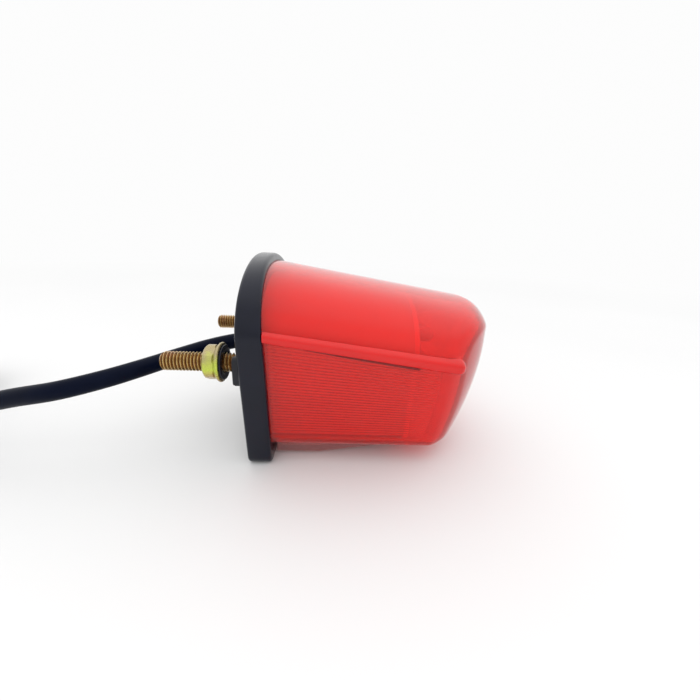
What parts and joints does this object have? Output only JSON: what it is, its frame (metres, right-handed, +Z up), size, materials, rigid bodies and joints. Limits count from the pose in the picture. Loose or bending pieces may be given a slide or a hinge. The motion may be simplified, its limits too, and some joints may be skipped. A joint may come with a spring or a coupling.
{
  "type": "led tail light",
  "caption": "Motorcycle LED tail light: wedge-shaped red lens on a gasketed base with two mounting studs, nuts, inner boards and a coiled cable with a plug.",
  "frame": {"origin": "where the cable leaves the mounting face, midway between the two studs", "axes": "+X from the mounting face to the nose of the lens, +Z up, +Y to the side away from the picture's camera"},
  "size_m": [0.316, 0.0725, 0.0662],
  "materials": {
    "red_lens": "clear red polycarbonate, glossy",
    "clear_window": "clear polycarbonate",
    "black_rubber": "satin moulded rubber",
    "black_plastic": "fine grained",
    "gold_zinc": "gold zinc plate",
    "yellow_zinc": "yellow-green zinc plate",
    "white_plastic": "white, slightly glossy",
    "board_green": "solder mask",
    "red_led": "tinted resin",
    "white_led": "clear resin",
    "chip_black": "moulded",
    "bright_zinc": "bright zinc plate",
    "brown_sheath": "insulation",
    "red_sheath": "insulation",
    "black_sheath": "satin cable sheath",
    "plug_plastic": "natural nylon",
    "brass_pin": "bright"
  },
  "bodies": {
    "lamp": {"lens": "red_lens", "plate_window": "clear_window", "base_gasket": "black_rubber", "base_plate": "black_plastic", "left_stud": "gold_zinc", "right_stud": "gold_zinc", "led_carrier": "white_plastic", "main_board": "board_green", "tail_leds": "red_led", "resistors": "chip_black", "polarity_diode": "chip_black", "board_screws": "bright_zinc", "plate_board": "board_green", "plate_leds": "white_led", "plate_board_screws": "bright_zinc", "carrier_screws": "bright_zinc", "tail_lead": "brown_sheath", "stop_lead": "red_sheath", "earth_lead": "black_sheath", "plate_jumpers": "red_sheath", "cable_grommet": "black_rubber", "cable": "black_sheath", "cable_coil": "black_sheath", "cable_tie": "black_plastic", "plug_boot": "black_rubber", "plug_housing": "plug_plastic", "plug_pins": "brass_pin"},
    "left_washer_body": {"left_washer": "black_rubber"},
    "left_nut_body": {"left_nut": "yellow_zinc"},
    "right_washer_body": {"right_washer": "black_rubber"},
    "right_nut_body": {"right_nut": "yellow_zinc"}
  },
  "joints": [
    {"name": "left_washer_slide", "type": "slide", "parent": "lamp", "child": "left_washer_body", "axis": [-1, 0, 0], "range_m": [-0.0015, 0.012]},
    {"name": "left_nut_turn", "type": "hinge", "parent": "left_washer_body", "child": "left_nut_body", "pos_m": [-0.009, -0.026, 0], "axis": [-1, 0, 0], "range_deg": [-540, 4320]},
    {"name": "right_washer_slide", "type": "slide", "parent": "lamp", "child": "right_washer_body", "axis": [-1, 0, 0], "range_m": [-0.0015, 0.012]},
    {"name": "right_nut_turn", "type": "hinge", "parent": "right_washer_body", "child": "right_nut_body", "pos_m": [-0.009, 0.026, 0], "axis": [-1, 0, 0], "range_deg": [-540, 4320]}
  ],
  "couplings": [
    {"joint": "left_nut_turn", "follows": "left_washer_slide", "rad_per_m": 6283.2},
    {"joint": "right_nut_turn", "follows": "right_washer_slide", "rad_per_m": 6283.2}
  ]
}
